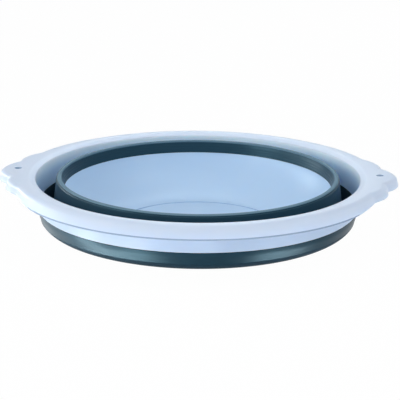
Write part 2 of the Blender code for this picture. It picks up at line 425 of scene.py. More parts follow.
class ShaderGroup:
    """Node group that is built the first time it is asked for."""

    NAME: ClassVar[str]
    INPUTS: ClassVar[dict[str, str]]
    OUTPUTS: ClassVar[dict[str, str]]

    @classmethod
    def tree(cls) -> bpy.types.NodeTree:
        """Return the group, building it the first time."""
        return bpy.data.node_groups.get(cls.NAME) or cls.build()

    @classmethod
    def build(cls) -> bpy.types.NodeTree:
        """Build the group.

        Returns:
            The new node tree.
        """
        tree = bpy.data.node_groups.new(cls.NAME, "ShaderNodeTree")
        for way, sockets in (("INPUT", cls.INPUTS), ("OUTPUT", cls.OUTPUTS)):
            for name, kind in sockets.items():
                tree.interface.new_socket(name=name, in_out=way, socket_type=kind)
        sheet = NodeSheet(tree)
        given = sheet.add("NodeGroupInput").outputs
        sheet.add("NodeGroupOutput", cls.work_out(sheet, given))
        return tree

    @classmethod
    def work_out(cls, sheet: NodeSheet, given: bpy.types.bpy_prop_collection) -> Given:
        """Lay the nodes between the group's inputs and its outputs.

        Args:
            sheet: The group's tree.
            given: The group's inputs, by name.

        Returns:
            The socket for each of the group's outputs, by name.
        """
        raise NotImplementedError


class SkinGroup(ShaderGroup):
    """Skin of a moulded plastic: clouding, a colour painted in lower down in place of shade, and a
    grain.
    """

    NAME = "moulded_skin"
    INPUTS = {
        "Place": VECTOR_SOCKET,
        **dict.fromkeys(("Colour", "Clouded Colour", "Painted Low Light"), COLOUR_SOCKET),
        **dict.fromkeys(("Low Height", "High Height", "Cloud Scale", "Grain Scale"), FLOAT_SOCKET),
        **dict.fromkeys(("Roughness", "Roughness Spread"), FLOAT_SOCKET),
    }
    OUTPUTS = {"Colour": COLOUR_SOCKET, "Roughness": FLOAT_SOCKET, "Height": FLOAT_SOCKET}
    CLOUD_DETAIL: ClassVar[float] = 3.0
    GRAIN_DETAIL: ClassVar[float] = 4.0
    CLOUD_MIDDLE: ClassVar[float] = 0.5

    @classmethod
    def work_out(cls, sheet: NodeSheet, given: bpy.types.bpy_prop_collection) -> Given:
        """Lay the skin's nodes. The arguments and the result are the base class's."""
        place = given["Place"]
        cloud = sheet.add("ShaderNodeTexNoise", {
            "Vector": place, "Scale": given["Cloud Scale"], "Detail": cls.CLOUD_DETAIL,
        }).outputs["Fac"]
        grain = sheet.add("ShaderNodeTexNoise", {
            "Vector": place, "Scale": given["Grain Scale"], "Detail": cls.GRAIN_DETAIL,
        }).outputs["Fac"]
        mixed = sheet.add("ShaderNodeMix", {
            "Factor": cloud, "A": given["Colour"], "B": given["Clouded Colour"],
        }, data_type="RGBA").outputs["Result"]
        share = sheet.add("ShaderNodeMapRange", {
            "Value": sheet.add("ShaderNodeSeparateXYZ", {0: place}).outputs["Z"],
            "From Min": given["Low Height"],
            "From Max": given["High Height"],
        }, interpolation_type="SMOOTHSTEP").outputs["Result"]
        # Painted shade: towards the bottom the colour blends into the low colour, which stands in
        # for shade and cooler light there
        with_painted_low_light = sheet.add("ShaderNodeMix", {
            "Factor": share, "A": given["Painted Low Light"], "B": mixed,
        }, data_type="RGBA").outputs["Result"]
        uneven = sheet.sum("SUBTRACT", cloud, cls.CLOUD_MIDDLE)
        rougher = sheet.sum("MULTIPLY_ADD", uneven, given["Roughness Spread"], given["Roughness"])
        return {"Colour": with_painted_low_light, "Roughness": rougher, "Height": grain}


class TurnedMarksGroup(ShaderGroup):
    """Faint rings that a turned mould leaves round the axis."""

    NAME = "turned_marks"
    INPUTS = {"Place": VECTOR_SOCKET, "Rings Each Metre": FLOAT_SOCKET}
    OUTPUTS = {"Height": FLOAT_SOCKET}
    LEVEL: ClassVar[Colour] = (1.0, 1.0, 0.0)
    RING_SCALE: ClassVar[float] = 1.0
    RING_DETAIL: ClassVar[float] = 2.0

    @classmethod
    def work_out(cls, sheet: NodeSheet, given: bpy.types.bpy_prop_collection) -> Given:
        """Lay the rings' nodes. The arguments and the result are the base class's."""
        place = given["Place"]
        flat = sheet.add("ShaderNodeVectorMath", {0: place, 1: cls.LEVEL}, operation="MULTIPLY")
        radius = sheet.add("ShaderNodeVectorMath", {0: flat.outputs["Vector"]}, operation="LENGTH")
        height = sheet.add("ShaderNodeSeparateXYZ", {0: place}).outputs["Z"]
        along = sheet.sum("ADD", radius.outputs["Value"], height)
        noise = sheet.add("ShaderNodeTexNoise", {
            "W": sheet.sum("MULTIPLY", along, given["Rings Each Metre"]),
            "Scale": cls.RING_SCALE,
            "Detail": cls.RING_DETAIL,
        }, noise_dimensions="1D")
        return {"Height": noise.outputs["Fac"]}


RIM_TOP = top_of("rim_ring")
# Heights where the painted low light is full: the rim's cooler shade below the flange, and the inner
# wall's shade in its depths
RIM_DEEP = RIM_TOP - 20 * MILLIMETRE
WALL_DEEP = RIM_TOP - 14 * MILLIMETRE
PAN_TOP = top_of("base_pan")


@dataclass(frozen=True)
class MouldedFinish:
    """A moulded plastic skin.

    Args:
        name: The material's name.
        colour: Linear colour of most of the skin.
        clouded: Linear colour that slow clouds lean towards.
        roughness: Middle roughness.
        specular_level: Strength of the plain reflection.
        painted_low_light: Linear colour painted on the lowest parts as shade, or None to keep the
            skin's own.
        low_height: Height below which the painted low colour is full.
        high_height: Height above which it is gone.
        translucency: Share of the light that goes into the plastic before it comes back.
        cloud_scale: Clouds each metre.
        grain_scale: Grains each metre.
        specular_tint: Colour of the plain reflection.
        roughness_spread: How far the clouds move the roughness.
        grain_depth: Height of the grain.
        ring_depth: Height of the turned marks.
        rings_each_metre: How close the turned marks lie.
        light_depth: Millimetres that red, green and blue light go into the plastic.
    """

    name: str
    colour: Colour
    clouded: Colour
    roughness: float
    specular_level: float
    painted_low_light: Colour | None = None
    low_height: float = 0.0
    high_height: float = RIM_TOP
    translucency: float = 0.0
    cloud_scale: float = 22.0
    grain_scale: float = 5200.0
    specular_tint: Colour = WHITE
    roughness_spread: float = 0.05
    grain_depth: float = 0.012 * MILLIMETRE
    ring_depth: float = 0.004 * MILLIMETRE
    rings_each_metre: float = 1400.0
    light_depth: Colour = (1.3, 1.7, 1.9)

    def material(self) -> bpy.types.Material:
        """Return the finish's material, building it the first time."""
        return bpy.data.materials.get(self.name) or self.build()

    def build(self) -> bpy.types.Material:
        """Build the material.

        Returns:
            The new material.
        """
        material = bpy.data.materials.new(self.name)
        material.use_nodes = True
        material.diffuse_color = opaque(self.colour)
        sheet = NodeSheet(material.node_tree)
        place = sheet.add("ShaderNodeTexCoord").outputs["Object"]
        skin = sheet.add("ShaderNodeGroup", {
            "Place": place,
            "Colour": opaque(self.colour),
            "Clouded Colour": opaque(self.clouded),
            "Painted Low Light": opaque(self.painted_low_light or self.colour),
            "Low Height": self.low_height,
            "High Height": self.high_height,
            "Cloud Scale": self.cloud_scale,
            "Grain Scale": self.grain_scale,
            "Roughness": self.roughness,
            "Roughness Spread": self.roughness_spread,
        }, node_tree=SkinGroup.tree()).outputs
        marks = sheet.add("ShaderNodeGroup", {
            "Place": place, "Rings Each Metre": self.rings_each_metre,
        }, node_tree=TurnedMarksGroup.tree()).outputs
        grain = sheet.add("ShaderNodeBump", {"Distance": self.grain_depth, "Height": skin["Height"]})
        rings = sheet.add("ShaderNodeBump", {
            "Distance": self.ring_depth,
            "Height": marks["Height"],
            "Normal": grain.outputs["Normal"],
        })
        sheet.feed(material.node_tree.nodes["Principled BSDF"], {
            "Base Color": skin["Colour"],
            "Roughness": skin["Roughness"],
            "Normal": rings.outputs["Normal"],
            "Specular IOR Level": self.specular_level,
            "Specular Tint": opaque(self.specular_tint),
            "Subsurface Weight": self.translucency,
            "Subsurface Radius": self.light_depth,
            "Subsurface Scale": MILLIMETRE,
        })
        return material


# Painted light: below the flange the ring wall blends to a bluer low colour that stands in for the
# cooler light and shade there
RIM_SKIN = MouldedFinish(
    "rim_plastic_skin", colour=(0.560, 0.645, 0.735), clouded=(0.570, 0.655, 0.745),
    painted_low_light=(0.590, 0.730, 0.910), low_height=RIM_DEEP,
    roughness=0.36, specular_level=0.09, translucency=0.6,
)
# Painted light and shade: the rim's inner wall is painted lighter and bluer than the rest of the
# rim, standing in for light and glow through the plastic, and darker towards its depths where shade
# falls
INNER_WALL_PAINTED_LIGHT = MouldedFinish(
    "inner_wall_painted_light", colour=(0.76, 0.89, 0.98), clouded=(0.77, 0.90, 0.99),
    painted_low_light=(0.48, 0.72, 0.98), low_height=WALL_DEEP,
    roughness=0.36, specular_level=0.09, translucency=0.6,
)
# Painted shade: a darker colour in the fine groove just above the skirt's edge and on the walls of
# the hanging holes
GROOVE_AND_HOLE_PAINTED_SHADE = MouldedFinish(
    "groove_and_hole_painted_shade", colour=(0.28, 0.38, 0.51), clouded=(0.29, 0.39, 0.52),
    low_height=RIM_DEEP, roughness=0.45, specular_level=0.09,
)
PAN_SKIN = MouldedFinish(
    "pan_plastic_skin", colour=(0.475, 0.645, 0.810), clouded=(0.485, 0.655, 0.820),
    high_height=PAN_TOP, roughness=0.34, specular_level=0.065, translucency=0.5, cloud_scale=20.0,
)
# Painted shade: a darker colour on the step round the disc's edge
DISC_STEP_PAINTED_SHADE = MouldedFinish(
    "disc_step_painted_shade", colour=(0.34, 0.50, 0.69), clouded=(0.35, 0.51, 0.70),
    high_height=PAN_TOP, roughness=0.40, specular_level=0.10, cloud_scale=20.0,
)
SOFT_SKIN = MouldedFinish(
    "soft_wall_skin", colour=(0.016, 0.047, 0.070), clouded=(0.018, 0.050, 0.074),
    roughness=0.33, specular_level=0.08, specular_tint=(0.54, 0.90, 1.0),
    cloud_scale=30.0, grain_scale=4200.0,
)
# Painted highlight: a lighter colour on the crest's top and just inside it, standing in for the
# light it catches
CREST_PAINTED_HIGHLIGHT = MouldedFinish(
    "crest_painted_highlight", colour=(0.115, 0.200, 0.250), clouded=(0.122, 0.210, 0.262),
    roughness=0.55, specular_level=0.03, cloud_scale=30.0, grain_scale=4200.0,
)
STRIP_SKIN = MouldedFinish(
    "soft_strip_skin", colour=(0.016, 0.046, 0.070), clouded=(0.018, 0.049, 0.074),
    roughness=0.50, specular_level=0.03, cloud_scale=30.0, grain_scale=4200.0,
)


@dataclass
class TurnedPiece:
    """What the pieces share: each is spun from one section and dressed face by face."""

    FINISHES: ClassVar[tuple[MouldedFinish, ...]]
    layout: Layout
    steps: int = 320

    def section(self) -> Section:
        """Lay out the piece's section."""
        raise NotImplementedError

    def finish_of(self, face: bpy.types.MeshPolygon) -> MouldedFinish:
        """Choose one face's finish: the piece's first, unless the piece says otherwise."""
        return self.FINISHES[0]

    def dress(self, piece: bpy.types.Object) -> None:
        """Give every face of the made piece its finish.

        Args:
            piece: The object that was made from the section.
        """
        piece.data.materials.clear()
        for finish in self.FINISHES:
            piece.data.materials.append(finish.material())
        for face in piece.data.polygons:
            face.material_index = self.FINISHES.index(self.finish_of(face))


@dataclass
class RimRing(TurnedPiece):
    """Stiff ring: seam wall, rolled lip, crowned flange, turned-down skirt and two lobed ears."""

    FINISHES = (RIM_SKIN, GROOVE_AND_HOLE_PAINTED_SHADE, INNER_WALL_PAINTED_LIGHT)
    steps: int = 480
    crown_run: float = 6.5 * MILLIMETRE
    crown_round: float = 12.0 * MILLIMETRE
    flange_wall: float = 2.4 * MILLIMETRE
    flange_flat: float = 3.6 * MILLIMETRE
    root_fillet: float = 1.5 * MILLIMETRE
    skirt_depth: float = 11.0 * MILLIMETRE
    skirt_run: float = 7.0 * MILLIMETRE
    skirt_shoulder: float = 8.5 * MILLIMETRE
    skirt_edge_outside: float = 0.15 * MILLIMETRE
    skirt_edge_inside: float = 0.3 * MILLIMETRE
    groove_start: float = 0.2 * MILLIMETRE
    groove_width: float = 1.1 * MILLIMETRE
    groove_depth: float = 0.35 * MILLIMETRE
    groove_edge: float = 0.12 * MILLIMETRE
    # Angle from an ear beyond which the groove's painted shade runs
    shade_line_start: float = math.radians(33.0)
    inner_wall_tilt: float = 0.45
    lip_back: float = 0.2 * MILLIMETRE
    lip_down: float = 0.55 * MILLIMETRE
    lobe_radius: float = 36.0 * MILLIMETRE
    side_lobe_reach: float = 6.5 * MILLIMETRE
    side_lobe_angle: float = math.radians(13.0)
    lobe_fillet: float = 2.4 * MILLIMETRE
    ear_skirt_run: float = 3.2 * MILLIMETRE
    ear_tuck: float = 0.8 * MILLIMETRE
    ear_start: float = math.radians(62.0)
    ear_end: float = math.radians(24.0)
    ear_lift: float = 2.6 * MILLIMETRE
    lift_start: float = math.radians(42.0)
    lift_end: float = math.radians(16.0)
    ear_crowding: float = 0.25
    hole_radius: float = 3.5 * MILLIMETRE
    hole_setback: float = 18.0 * MILLIMETRE
    hole_edge: float = 0.5 * MILLIMETRE
    hole_overrun: float = 1.0 * MILLIMETRE
    hole_skim: float = 0.02 * MILLIMETRE
    hole_steps: int = 64
    skirt_radius: float = field(default_factory=lambda: reach_away("rim_ring"))
    ear_tip: float = field(default_factory=lambda: reach_across("rim_ring"))

    @property
    def skirt_slope(self) -> float:
        """Angle of the skirt below the level."""
        return math.atan2(self.skirt_depth, self.skirt_run)

    @property
    def flat_end(self) -> float:
        """Radius where the flange's flat ends and its shoulder starts."""
        shoulder = self.skirt_shoulder * math.tan(self.skirt_slope / 2)
        return self.skirt_radius - self.skirt_run - shoulder

    @property
    def flat_start(self) -> float:
        """Radius where the crown has risen to the flange's flat."""
        return self.flat_end - self.flange_flat

    @property
    def lip_radius(self) -> float:
        """Radius of the mouth at the lip."""
        return self.flat_start - self.crown_run

    @property
    def skirt_edge_height(self) -> float:
        """Height of the skirt's lower edge."""
        return self.layout.flange_top - self.skirt_depth

    def section(self) -> Section:
        """Lay out the ring's section.

        Returns:
            The closed outline, from the lap tongue out along the underside and back over the top.
        """
        lay = self.layout
        tongue_inner = lay.wall_inner + (lay.rim_wall - lay.lap_thickness) / 2
        tongue_outer = tongue_inner + lay.lap_thickness
        tongue_drift = lay.rim_slope * lay.lap_length
        inner_drift = lay.rim_slope * (lay.inner_seam - lay.outer_seam)
        under = lay.flange_top - self.flange_wall
        root = lay.wall_outer + lay.rim_slope * (under - lay.outer_seam)
        bend = self.skirt_radius - self.skirt_run
        thick = self.flange_wall
        under_bend = bend + thick / math.tan(self.skirt_slope) - thick / math.sin(self.skirt_slope)
        across = thick / math.sin(self.skirt_slope)
        edge = self.skirt_edge_height
        lip_bend = self.lip_radius + self.lip_back
        return Section([
            Corner(tongue_inner - tongue_drift, lay.outer_seam - lay.lap_length),
            Corner(tongue_outer - tongue_drift, lay.outer_seam - lay.lap_length),
            Corner(tongue_outer, lay.outer_seam),
            lay.seam(lay.wall_outer, lay.outer_seam),
            Corner(root, under, self.root_fillet),
            Corner(under_bend, under, self.skirt_shoulder - thick, Arc.UNDERSIDE),
            Corner(self.skirt_radius - across, edge, self.skirt_edge_inside, Arc.EDGE),
            Corner(self.skirt_radius, edge, self.skirt_edge_outside, Arc.SMALL),
            *self.groove(),
            Corner(bend, lay.flange_top, self.skirt_shoulder, Arc.SHOULDER),
            Corner(self.flat_start, lay.flange_top, self.crown_round, Arc.WIDE),
            Corner(lip_bend, lay.lip_height - self.lip_down, lay.lip_round, Arc.LIP),
            lay.seam(lay.wall_inner + inner_drift, lay.inner_seam),
            Corner(tongue_inner + inner_drift, lay.inner_seam),
        ])

    def groove(self) -> list[Corner]:
        """Lay out the fine groove that runs round the skirt just above its edge.

        Returns:
            Its three corners, from the lowest up.
        """
        slope = self.skirt_run / self.skirt_depth
        points = []
        for along, depth in ((0.0, 0.0), (0.5, self.groove_depth), (1.0, 0.0)):
            rise = self.groove_start + self.groove_width * along
            radius = self.skirt_radius - slope * rise - depth
            points.append(Corner(radius, self.skirt_edge_height + rise, self.groove_edge, Arc.TINY))
        return points

    def lobe_reach(self, turn: float, tip: float) -> float:
        """Work out a round lobe's edge.

        Args:
            turn: Angle from the lobe's centre line.
            tip: The lobe's furthest distance from the axis.

        Returns:
            Distance from the axis to the edge, or zero where the ray misses the lobe.
        """
        centre = tip - self.lobe_radius
        aside = centre * math.sin(turn)
        if abs(aside) >= self.lobe_radius or math.cos(turn) <= 0.0:
            return 0.0
        return centre * math.cos(turn) + math.sqrt(self.lobe_radius ** 2 - aside ** 2)

    def filleted_max(self, first: float, second: float) -> float:
        """Return the larger of two distances, with a fillet where they cross."""
        overlap = max(self.lobe_fillet - abs(first - second), 0.0) / self.lobe_fillet
        return max(first, second) + overlap ** 2 * self.lobe_fillet / 4

    def skirt_reach(self, turn: float) -> float:
        """Work out how far the skirt stands out past its plain circle.

        Args:
            turn: Angle from the nearer ear's centre line.

        Returns:
            The extra distance from the axis.
        """
        side = self.lobe_reach(turn - self.side_lobe_angle, self.skirt_radius + self.side_lobe_reach)
        middle = self.lobe_reach(turn, self.ear_tip)
        outermost = self.filleted_max(self.filleted_max(self.skirt_radius, side), middle)
        return outermost - self.skirt_radius

    def near_ear(self, turn: float, start: float, end: float) -> float:
        """Step smoothly from 0 along the plain rim to 1 at an ear.

        Args:
            turn: Angle from the nearer ear's centre line.
            start: Angle where the step begins.
            end: Angle where it is complete.

        Returns:
            The step's value.
        """
        along = held((start - turn) / (start - end))
        return along * along * (3 - 2 * along)

    def draw_out_ears(self, shape: bmesh.types.BMesh) -> None:
        """Crowd the ring's steps towards the ears and pull its flange out into lobes.

        Args:
            shape: The spun ring.
        """
        for point in shape.verts:
            radius = math.hypot(point.co.x, point.co.y)
            angle = math.atan2(point.co.y, point.co.x)
            angle -= self.ear_crowding * math.sin(2 * angle)
            turn = math.asin(held(abs(math.sin(angle))))
            out = held((radius - self.flat_start) / self.flange_flat)
            up = held((point.co.z - self.skirt_edge_height) / self.skirt_depth)
            steepen = self.near_ear(turn, self.ear_start, self.ear_end) * up
            steepen *= self.skirt_run - self.ear_skirt_run
            radius += out * (self.skirt_reach(turn) + steepen)
            low_on_ear = out * (1 - up) * self.near_ear(turn, self.lift_start, self.lift_end)
            radius -= low_on_ear * (1 - up) * self.ear_tuck
            point.co.z += low_on_ear * self.ear_lift
            point.co.x = radius * math.cos(angle)
            point.co.y = radius * math.sin(angle)

    def hole_cutter(self, side: float) -> bpy.types.Object:
        """Make the cutter of one hanging hole, flared so that the hole's edges come out rounded.

        Args:
            side: 1 for the right ear and -1 for the left.

        Returns:
            The cutter, in place.
        """
        top = self.layout.flange_top
        under = top - self.flange_wall
        flare = self.hole_radius + 2 * self.hole_edge
        shape = Section([
            Corner(0.0, under - self.hole_overrun),
            Corner(flare, under - self.hole_overrun),
            Corner(flare, under - self.hole_skim),
            Corner(self.hole_radius, under - self.hole_skim, self.hole_edge),
            Corner(self.hole_radius, top + self.hole_skim, self.hole_edge),
            Corner(flare, top + self.hole_skim),
            Corner(flare, top + self.hole_overrun),
            Corner(0.0, top + self.hole_overrun),
        ], on_axis=True).spin(self.hole_steps)
        aside = Vector((side * (self.ear_tip - self.hole_setback), 0.0, 0.0))
        bmesh.ops.translate(shape, verts=shape.verts, vec=aside)
        return finish_mesh("hanging_hole_cutter", shape)

    def finish_of(self, face: bpy.types.MeshPolygon) -> MouldedFinish:
        """Choose one face's finish.

        Args:
            face: A face of the finished ring.

        Returns:
            Painted shade in the skirt's groove and the hanging holes, the inner wall's painted light
            and shade, or the skin's.
        """
        middle = face.center
        outward = outwardness(face)
        reach = math.hypot(middle.x, middle.y)
        # The inner wall gets its painted light and its painted shade in its depths
        if reach < self.flat_start:
            inward = outward < 0 and face.normal.z < self.inner_wall_tilt
            return INNER_WALL_PAINTED_LIGHT if inward else RIM_SKIN
        # Painted shade: the hanging holes' walls and the groove above the skirt's edge get a darker
        # colour
        hole_axis = self.ear_tip - self.hole_setback
        if math.hypot(abs(middle.x) - hole_axis, middle.y) < self.hole_radius + self.hole_skim:
            return GROOVE_AND_HOLE_PAINTED_SHADE
        low = self.skirt_edge_height + self.groove_start
        plain_rim = math.asin(held(abs(middle.y) / reach)) > self.shade_line_start
        in_groove = low < middle.z < low + self.groove_width and outward > 0
        return GROOVE_AND_HOLE_PAINTED_SHADE if in_groove and plain_rim else RIM_SKIN

    def drill(self, ring: bpy.types.Object) -> None:
        """Cut both hanging holes and keep the result as the ring's own mesh.

        Args:
            ring: The ring with its ears.
        """
        cutters = [self.hole_cutter(side) for side in (1.0, -1.0)]
        ring.modifiers.clear()
        for cutter in cutters:
            cut = ring.modifiers.new("hanging_hole", "BOOLEAN")
            cut.operation = "DIFFERENCE"
            cut.object = cutter
        graph = bpy.context.evaluated_depsgraph_get()
        ring.data = bpy.data.meshes.new_from_object(ring.evaluated_get(graph))
        ring.modifiers.clear()
        for cutter in cutters:
            bpy.data.objects.remove(cutter, do_unlink=True)
        soften(ring)

    def build(self) -> None:
        """Make, drill and dress the ring."""
        shape = self.section().spin(self.steps)
        self.draw_out_ears(shape)
        bmesh.ops.recalc_face_normals(shape, faces=shape.faces)
        ring = finish_mesh("rim_moulding", shape)
        self.drill(ring)
        self.dress(ring)
        hand_over(ring, Body.RIM, "rim_ring")


@dataclass
class OuterWallBand(TurnedPiece):
    """Soft band under the ring: its sloping face, the proud strip below and the fold bead."""

    FINISHES = (SOFT_SKIN, STRIP_SKIN)
    wall: float = 2.0 * MILLIMETRE
    lean: float = 10.0 * MILLIMETRE
    height: float = 17.5 * MILLIMETRE
    face_height: float = 11.2 * MILLIMETRE
    face_lean: float = 2.4 * MILLIMETRE
    face_step: float = 0.2 * MILLIMETRE
    face_bow: float = 16.0 * MILLIMETRE
    seam_round: float = 0.5 * MILLIMETRE
    strip_edge: float = 0.25 * MILLIMETRE
    strip_bow: float = 0.9 * MILLIMETRE
    strip_foot_round: float = 0.15 * MILLIMETRE
    bead_inset: float = 0.1 * MILLIMETRE
    bead_rise: float = 0.5 * MILLIMETRE
    bead_round: float = 1.3 * MILLIMETRE
    bead_height: float = 2.7 * MILLIMETRE
    bead_edge: float = 0.5 * MILLIMETRE
    strip_pieces: int = 10
    trough_floor: int = 5

    @property
    def foot(self) -> float:
        """Height of the band's lowest ring."""
        return self.layout.outer_seam - self.height

    @property
    def strip_top(self) -> float:
        """Height where the strip meets the face above it."""
        return self.layout.outer_seam - self.face_height

    def bowed(self, across: float, down: float) -> list[Corner]:
        """Lay out a slightly bowed slope from below the face out to it.

        Args:
            across: How far it runs out.
            down: How far it rises.

        Returns:
            Its points from the lowest up, both ends included.
        """
        foot = Vector((self.layout.wall_outer - self.lean, 0.0, self.strip_top - down))
        slope = Vector((across, 0.0, down))
        outward = Vector((down, 0.0, -across)).normalized()
        points = []
        for index in range(self.strip_pieces + 1):
            along = index / self.strip_pieces
            point = foot + slope * along + outward * (4 * self.strip_bow * along * (1 - along))
            points.append(Corner(point.x, point.z))
        return points

    def section(self) -> Section:
        """Lay out the band's section.

        Returns:
            The closed outline, up the outer face, round the lap groove and down the trough side.
        """
        lay = self.layout
        middle = lay.wall_inner + lay.rim_wall / 2
        groove_half = lay.lap_thickness / 2 + lay.join_gap
        floor = lay.outer_seam - lay.lap_length - lay.join_gap
        drift = lay.rim_slope * (lay.outer_seam - floor)
        inner_drift = lay.rim_slope * (lay.inner_seam - lay.outer_seam)
        across = self.lean - self.face_lean
        down = self.height - self.face_height
        face_foot = lay.wall_outer - self.face_lean
        step = self.face_step
        inside = lay.fold_foot - lay.fold_wall - self.bead_inset
        outer_top = lay.outer_seam - lay.seam_gap
        inner_top = lay.inner_seam - lay.seam_gap
        bead_top = self.foot + self.bead_height
        strip = self.bowed(across, down)
        trough = self.bowed(across - self.wall, down - self.wall)
        return Section([
            Corner(strip[0].radius, strip[0].height, self.strip_foot_round, Arc.EDGE),
            *strip[1:-1],
            Corner(face_foot, self.strip_top, self.strip_edge, Arc.STRIP),
            Corner(face_foot - step, self.strip_top + step, step / 2, Arc.SMALL),
            Corner(lay.wall_outer - drift, floor, self.face_bow, Arc.WIDE),
            Corner(lay.wall_outer, outer_top, self.seam_round, Arc.EDGE),
            Corner(middle + groove_half, outer_top),
            Corner(middle + groove_half - drift, floor),
            Corner(middle - groove_half - drift, floor),
            Corner(middle - groove_half + inner_drift, inner_top),
            lay.seam(lay.wall_inner + inner_drift, inner_top),
            Corner(lay.wall_inner - drift, floor, self.face_bow, Arc.WIDE),
            *reversed(trough[self.trough_floor:]),
            Corner(lay.fold_foot + self.bead_inset, bead_top),
            Corner(inside, bead_top, self.bead_edge, Arc.EDGE),
            Corner(inside, self.foot + self.bead_rise, self.bead_round),
        ])

    def finish_of(self, face: bpy.types.MeshPolygon) -> MouldedFinish:
        """Choose one face's finish: the strip's below the face, and the soft skin elsewhere."""
        on_strip = face.center.z < self.strip_top and outwardness(face) > 0
        return STRIP_SKIN if on_strip else SOFT_SKIN

    def build(self) -> None:
        """Make and dress the band."""
        band = finish_mesh("outer_wall_band", self.section().spin(self.steps))
        self.dress(band)
        hand_over(band, Body.RIM, "outer_band")


@dataclass
class FoldWall(TurnedPiece):
    """Soft cone between the bead and the crest, the part that turns inside out."""

    FINISHES = (SOFT_SKIN,)
    steps: int = 288
    top_drop: float = 0.8 * MILLIMETRE
    end_round: float = 0.6 * MILLIMETRE
    row_spacing: float = 1.0 * MILLIMETRE

    @property
    def foot(self) -> float:
        """Height of the wall's foot."""
        return self.layout.fold_start

    @property
    def head(self) -> float:
        """Height of the wall's head, inside the crest."""
        return self.layout.crest_top - self.layout.crest_radius - self.top_drop

    def section(self) -> Section:
        """Lay out the wall's section, in short rows so that it bends smoothly.

        Returns:
            The closed outline.
        """
        lay = self.layout
        head_outside = lay.fold_foot - lay.fold_lean
        ends = (
            (lay.fold_foot - lay.fold_wall, self.foot),
            (lay.fold_foot, self.foot),
            (head_outside, self.head),
            (head_outside - lay.fold_wall, self.head),
        )
        section = Section([Corner(*end, self.end_round, Arc.EDGE) for end in ends])
        section.divide(self.row_spacing)
        return section

    def build(self) -> None:
        """Make and dress the wall, bake its placement into its mesh and hide the imported fold band.
        """
        wall = finish_mesh("fold_wall", self.section().spin(self.steps))
        self.dress(wall)
        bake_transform(wall)
        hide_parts("fold_band")
        log.info("%s bends from rim to base, %d faces", wall.name, len(wall.data.polygons))


@dataclass
class InnerWallBand(TurnedPiece):
    """Soft band inside the crest: the smooth crest, the faint ribs and the lap on the pan."""

    FINISHES = (SOFT_SKIN, CREST_PAINTED_HIGHLIGHT)
    fold_height: float = 39.5 * MILLIMETRE
    leg_height: float = 7.0 * MILLIMETRE
    leg_proud: float = 0.04 * MILLIMETRE
    notch_drop: float = 2.4 * MILLIMETRE
    crest_edge: float = 125.7 * MILLIMETRE
    crest_fall: float = 0.3 * MILLIMETRE
    crest_inset: float = 0.7 * MILLIMETRE
    crest_inner_round: float = 1.3 * MILLIMETRE
    crest_outer_round: float = 1.6 * MILLIMETRE
    overhang_drop: float = 1.8 * MILLIMETRE
    # How far below the crest's top the painted highlight reaches, on its top and just inside
    highlight_outer_depth: float = 1.2 * MILLIMETRE
    highlight_inner_depth: float = 2.0 * MILLIMETRE
    rib_count: int = 3
    rib_pitch: float = 2.3 * MILLIMETRE
    rib_start: float = 2.2 * MILLIMETRE
    rib_width: float = 1.2 * MILLIMETRE
    rib_proud: float = 0.14 * MILLIMETRE
    rib_round: float = 0.5 * MILLIMETRE

    def inner_face(self, height: float) -> float:
        """Radius of the band's inner face at a height."""
        return self.layout.pan_edge + self.layout.inner_slope * (height - self.layout.pan_top)

    def fold_face(self, height: float) -> float:
        """Radius of the fold wall's outer face at a height."""
        lay = self.layout
        return lay.fold_foot - lay.fold_lean * (height - lay.fold_start) / self.fold_height

    def crest(self) -> list[Corner]:
        """Lay out the crest's nearly flat top.

        Returns:
            Its corners, from the outer leg over to the inner face.
        """
        top = self.layout.crest_top
        outside = self.fold_face(top) - self.crest_inset
        under = top - self.overhang_drop
        return [
            Corner(outside, top - self.crest_fall, self.crest_outer_round, Arc.WIDE),
            Corner(self.crest_edge, top, self.crest_inner_round, Arc.WIDE),
            Corner(self.inner_face(under), under, self.rib_round, Arc.EDGE),
        ]

    def ribs(self) -> list[Corner]:
        """Lay out the faint ribs on the inner face.

        Returns:
            Their points, from the highest rib down.
        """
        half = self.rib_width / 2
        points = []
        for index in reversed(range(self.rib_count)):
            middle = self.layout.pan_top + self.rib_start + index * self.rib_pitch
            across = (
                (middle + half, 0.0, Arc.SMALL),
                (middle, self.rib_proud, Arc.EDGE),
                (middle - half, 0.0, Arc.SMALL),
            )
            for height, proud, arc in across:
                radius = self.inner_face(height) - proud
                points.append(Corner(radius, height, self.rib_round, arc))
        return points

    def section(self) -> Section:
        """Lay out the band's section.

        Returns:
            The closed outline, from the lap on the pan up the back, over the crest and down.
        """
        lay = self.layout
        middle = lay.pan_edge + lay.crest_radius
        groove_half = lay.lap_thickness / 2 + lay.join_gap
        roof = lay.pan_top + lay.lap_length + lay.join_gap
        drift = lay.inner_slope * (roof - lay.pan_top)
        foot = lay.pan_top + lay.seam_gap
        notch = lay.crest_top - self.notch_drop
        notch_radius = self.inner_face(notch) + 2 * lay.crest_radius
        leg_foot = lay.crest_top - self.leg_height
        leg_face = self.fold_face(leg_foot)
        return Section([
            lay.seam(lay.pan_edge, foot),
            Corner(middle - groove_half, foot),
            Corner(middle - groove_half + drift, roof),
            Corner(middle + groove_half + drift, roof),
            Corner(middle + groove_half, foot),
            lay.seam(lay.pan_reach, foot),
            Corner(notch_radius, notch, self.rib_round, Arc.EDGE),
            lay.seam(leg_face - lay.fold_wall - self.leg_proud, leg_foot),
            lay.seam(leg_face + self.leg_proud, leg_foot),
            *self.crest(),
            *self.ribs(),
        ])

    def finish_of(self, face: bpy.types.MeshPolygon) -> MouldedFinish:
        """Choose one face's finish: painted highlight on the crest's top and just inside, or the
        soft skin.
        """
        depth = self.layout.crest_top - face.center.z
        on_top = face.normal.z > 0 and depth < self.highlight_outer_depth
        just_inside = outwardness(face) < 0 and depth < self.highlight_inner_depth
        return CREST_PAINTED_HIGHLIGHT if on_top or just_inside else SOFT_SKIN

    def build(self) -> None:
        """Make and dress the band."""
        band = finish_mesh("inner_wall_band", self.section().spin(self.steps))
        self.dress(band)
        hand_over(band, Body.BASE, "inner_band")


